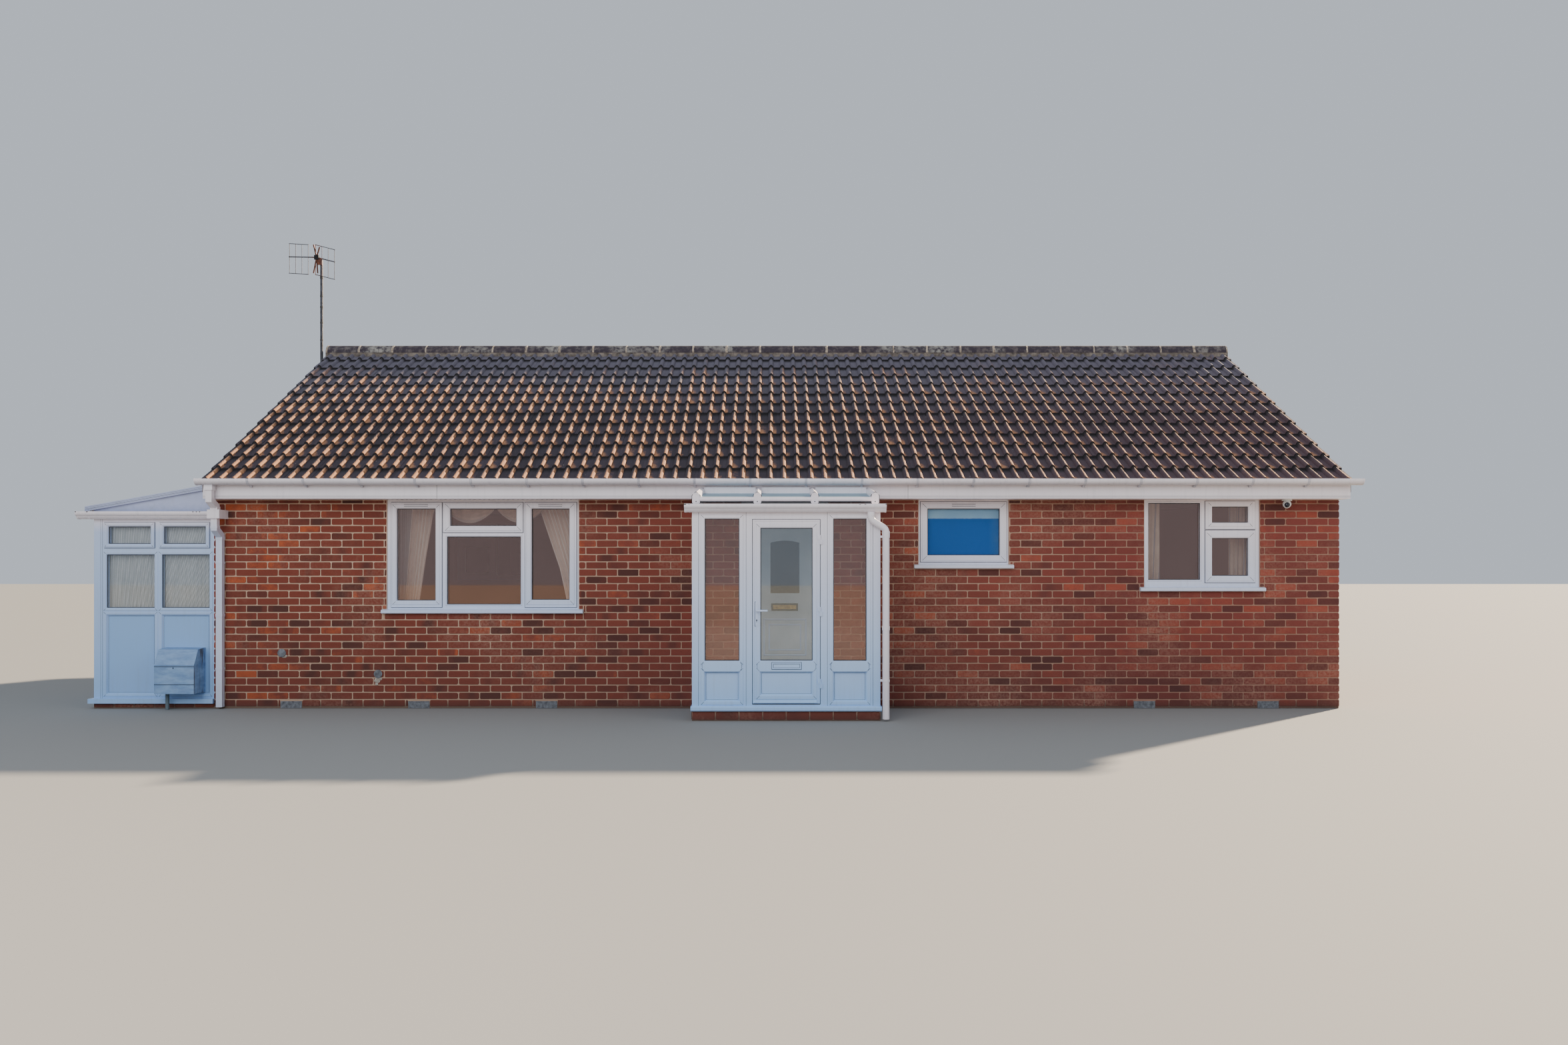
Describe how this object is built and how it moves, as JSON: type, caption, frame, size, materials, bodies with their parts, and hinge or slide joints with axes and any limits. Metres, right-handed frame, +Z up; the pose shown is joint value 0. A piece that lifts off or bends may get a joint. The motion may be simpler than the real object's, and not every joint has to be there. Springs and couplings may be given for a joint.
{
  "type": "bungalow",
  "caption": "Detached brick bungalow with a tiled gable roof, a glazed front porch with hinged doors and a lean-to side porch.",
  "frame": {"origin": "middle of the brick body at ground level, on the underside of the floor slab", "axes": "+X to the right along the front, +Y towards the back, +Z up; the front with the glazed porch faces -Y"},
  "size_m": [13.71, 8.3853, 5.923],
  "materials": {
    "brick": "fired clay facing brick, multi red, mortar joints",
    "concrete": "floated concrete",
    "plaster": "painted plasterboard",
    "roof_tile": "weathered concrete tile",
    "mortar": "sand and cement mortar",
    "white_frame": "white window plastic, slightly weathered",
    "glazing": "clear double glazing",
    "roof_sheet": "twin wall sheet",
    "entry_door": "moulded white door",
    "drapes": "woven curtain",
    "bedroom_curtain": "light woven curtain",
    "net": "net curtain",
    "blind": "blue roller blind",
    "meter_grey": "weathered grey moulding",
    "camera_white": "white housing",
    "air_brick_grey": "pale grey louvre",
    "aerial_metal": "dull aluminium",
    "handle_white": "white powder coat"
  },
  "bodies": {
    "root": {"aerial_head": "aerial_metal", "aerial_mast": "aerial_metal", "air_bricks": "air_brick_grey", "ceiling": "plaster", "curtain_rails": "white_frame", "downpipes": "white_frame", "eaves_boards": "white_frame", "floor_slab": "concrete", "front_wall_left": "brick", "front_wall_over_door": "brick", "front_wall_right": "brick", "gutter_brackets": "white_frame", "gutters": "white_frame", "inner_door_frame": "entry_door", "left_gable_wall": "brick", "living_curtains": "drapes", "living_window": "white_frame", "meter_box": "meter_grey", "pipe_clips": "white_frame", "porch_bases": "brick", "porch_downpipe": "white_frame", "porch_front_frame": "white_frame", "porch_glass": "glazing", "porch_gutter": "white_frame", "porch_panels": "white_frame", "porch_roof_bars": "white_frame", "porch_roof_sheets": "roof_sheet", "porch_roof_trims": "white_frame", "porch_side_frames": "white_frame", "porch_sills": "white_frame", "rear_wall": "brick", "rear_windows": "white_frame", "ridge_bedding": "mortar", "ridge_tiles": "roof_tile", "right_curtains": "bedroom_curtain", "right_gable_wall": "brick", "right_window": "white_frame", "roof_front_slope": "roof_tile", "roof_rear_slope": "roof_tile", "security_camera": "camera_white", "side_porch_frame": "white_frame", "side_porch_gable_fill": "white_frame", "side_porch_glass": "glazing", "side_porch_gutter": "white_frame", "side_porch_nets": "net", "side_porch_panels": "white_frame", "side_porch_roof": "roof_sheet", "small_window": "white_frame", "small_window_blind": "blind", "window_glass": "glazing", "window_sills": "white_frame"},
    "porch_door": {"porch_door": "white_frame", "porch_door_glass": "glazing", "porch_door_handle": "handle_white"},
    "inner_door": {"inner_door": "entry_door", "inner_door_glass": "glazing"}
  },
  "joints": [
    {"name": "porch_door_hinge", "type": "hinge", "parent": "root", "child": "porch_door", "pos_m": [0.4325, -4.508, 1.082], "axis": [0, 0, 1], "range_deg": [0, 95]},
    {"name": "inner_door_hinge", "type": "hinge", "parent": "root", "child": "inner_door", "pos_m": [0.4975, -3.302, 1.208], "axis": [0, 0, -1], "range_deg": [0, 90]}
  ]
}
